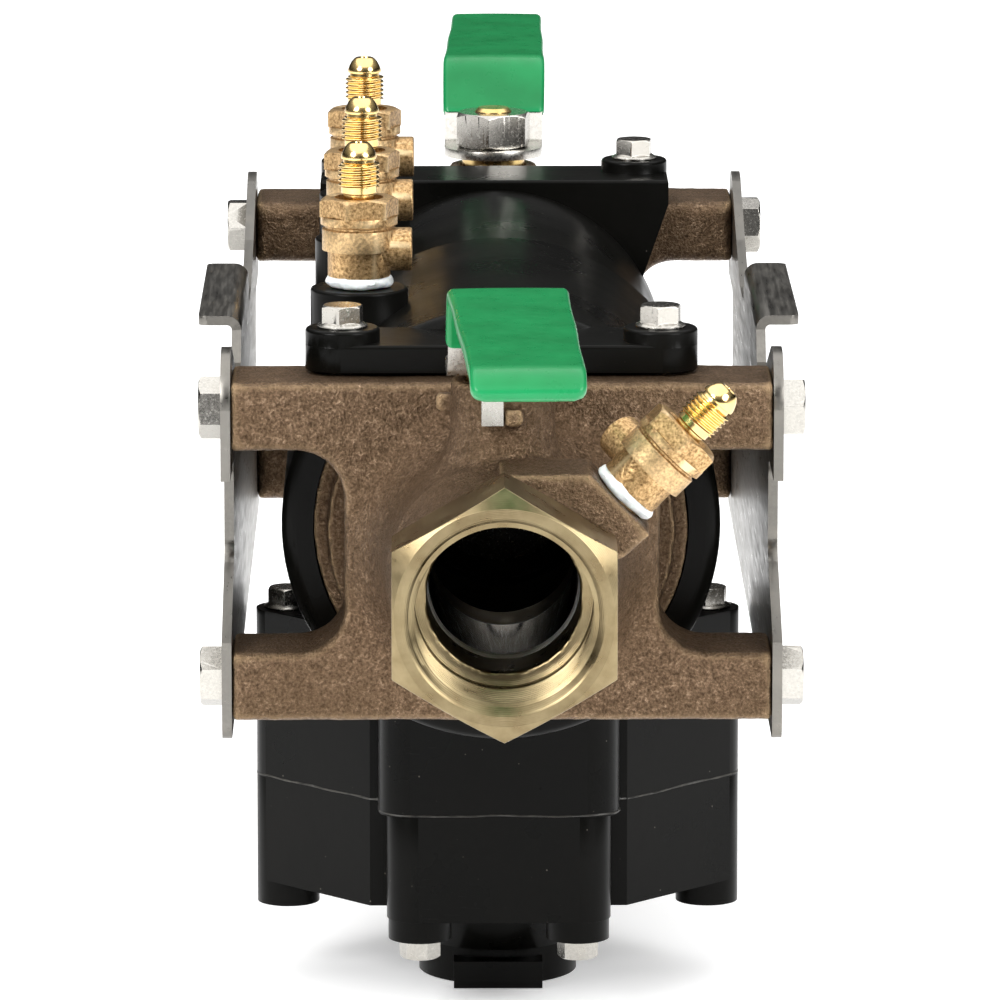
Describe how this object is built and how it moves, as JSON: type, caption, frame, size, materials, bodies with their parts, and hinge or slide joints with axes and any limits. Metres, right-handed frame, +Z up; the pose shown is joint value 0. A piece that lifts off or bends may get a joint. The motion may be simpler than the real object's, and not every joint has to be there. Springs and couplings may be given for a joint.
{
  "type": "backflow preventer",
  "caption": "Reduced-pressure backflow preventer: in-line check valves and a relief valve in a plastic body, clamped between lever ball valves with test cocks.",
  "frame": {"origin": "centre of the inlet port face, on the flow axis", "axes": "+Y along the flow, inlet to outlet; +Z up, towards the handles; +X to the right when looking along the flow"},
  "size_m": [0.1656, 0.686, 0.2499],
  "materials": {
    "cast_bronze": "sand-cast bronze",
    "machined_bronze": "turned bronze",
    "chrome_ball": "polished",
    "ptfe": "smooth",
    "brass": "turned",
    "zinc_steel": "satin plated",
    "green_vinyl": "glossy dipped vinyl",
    "bright_steel": "bright",
    "black_plastic": "glossy glass-filled nylon",
    "inner_plastic": "moulded",
    "black_rubber": "moulded rubber",
    "spring_steel": "drawn wire",
    "satin_steel": "rolled stainless",
    "cock_bronze": "cast and tumbled",
    "polished_brass": "polished",
    "ptfe_tape": "crumpled tape"
  },
  "bodies": {
    "root": {"inlet_valve_body": "cast_bronze", "inlet_seat_retainer": "machined_bronze", "inlet_ball_seats": "ptfe", "inlet_stem_seals": "ptfe", "inlet_packing_gland": "brass", "outlet_valve_body": "cast_bronze", "outlet_seat_retainer": "machined_bronze", "outlet_ball_seats": "ptfe", "outlet_stem_seals": "ptfe", "outlet_packing_gland": "brass", "body": "black_plastic", "check_1_seat": "inner_plastic", "check_1_cage": "inner_plastic", "check_1_spring": "spring_steel", "check_2_seat": "inner_plastic", "check_2_cage": "inner_plastic", "check_2_spring": "spring_steel", "check_retaining_rings": "spring_steel", "o_rings": "black_rubber", "relief_cover": "black_plastic", "relief_diaphragm": "black_rubber", "relief_seat": "bright_steel", "relief_spring": "spring_steel", "relief_guide": "inner_plastic", "bracket_right": "satin_steel", "bracket_left": "satin_steel", "bracket_bolts": "bright_steel", "ear_screws": "bright_steel", "relief_side_screws": "bright_steel", "relief_corner_bolts": "bright_steel", "test_cock_bodies": "cock_bronze", "test_cock_flares": "polished_brass", "thread_tape": "ptfe_tape"},
    "inlet_handle": {"inlet_handle_lever": "zinc_steel", "inlet_handle_grip": "green_vinyl", "inlet_handle_nut": "bright_steel", "inlet_stem": "brass", "inlet_ball": "chrome_ball"},
    "outlet_handle": {"outlet_handle_lever": "zinc_steel", "outlet_handle_grip": "green_vinyl", "outlet_handle_nut": "bright_steel", "outlet_stem": "brass", "outlet_ball": "chrome_ball"},
    "check_1_poppet": {"check_1_poppet": "inner_plastic", "check_1_disc": "black_rubber", "check_1_disc_retainer": "bright_steel"},
    "check_2_poppet": {"check_2_poppet": "inner_plastic", "check_2_disc": "black_rubber", "check_2_disc_retainer": "bright_steel"},
    "relief_stem": {"relief_stem": "bright_steel", "relief_disc": "black_rubber", "relief_stem_nut": "bright_steel", "diaphragm_plates": "bright_steel"},
    "test_cock_1_stem": {"test_cock_1_stem": "polished_brass"},
    "test_cock_2_stem": {"test_cock_2_stem": "polished_brass"},
    "test_cock_3_stem": {"test_cock_3_stem": "polished_brass"},
    "test_cock_4_stem": {"test_cock_4_stem": "polished_brass"}
  },
  "joints": [
    {"name": "inlet_handle_turn", "type": "hinge", "parent": "root", "child": "inlet_handle", "pos_m": [0, 0.068, 0.0524], "axis": [0, 0, 1], "range_deg": [-90, 0]},
    {"name": "outlet_handle_turn", "type": "hinge", "parent": "root", "child": "outlet_handle", "pos_m": [0, 0.451, 0.0524], "axis": [0, 0, 1], "range_deg": [-90, 0]},
    {"name": "check_1_open", "type": "slide", "parent": "root", "child": "check_1_poppet", "axis": [0, 1, 0], "range_m": [0, 0.012], "stiffness_N_per_m": 1500, "springref_m": -0.03, "deforming": ["check_1_spring"]},
    {"name": "check_2_open", "type": "slide", "parent": "root", "child": "check_2_poppet", "axis": [0, 1, 0], "range_m": [0, 0.012], "stiffness_N_per_m": 700, "springref_m": -0.0171, "deforming": ["check_2_spring"]},
    {"name": "relief_close", "type": "slide", "parent": "root", "child": "relief_stem", "axis": [0, 0, 1], "range_m": [-0.006, 0], "stiffness_N_per_m": 3000, "springref_m": 0.012, "deforming": ["relief_spring", "relief_diaphragm"]},
    {"name": "test_cock_1_turn", "type": "hinge", "parent": "root", "child": "test_cock_1_stem", "pos_m": [0.03349, 0.0475, 0.03407], "axis": [-0.5417, 0.6428, 0.5417], "range_deg": [0, 90]},
    {"name": "test_cock_2_turn", "type": "hinge", "parent": "root", "child": "test_cock_2_stem", "pos_m": [-0.031, 0.171, 0.0673], "axis": [1, 0, 0], "range_deg": [0, 90]},
    {"name": "test_cock_3_turn", "type": "hinge", "parent": "root", "child": "test_cock_3_stem", "pos_m": [-0.031, 0.2595, 0.0673], "axis": [1, 0, 0], "range_deg": [0, 90]},
    {"name": "test_cock_4_turn", "type": "hinge", "parent": "root", "child": "test_cock_4_stem", "pos_m": [-0.031, 0.344, 0.0673], "axis": [1, 0, 0], "range_deg": [0, 90]}
  ]
}
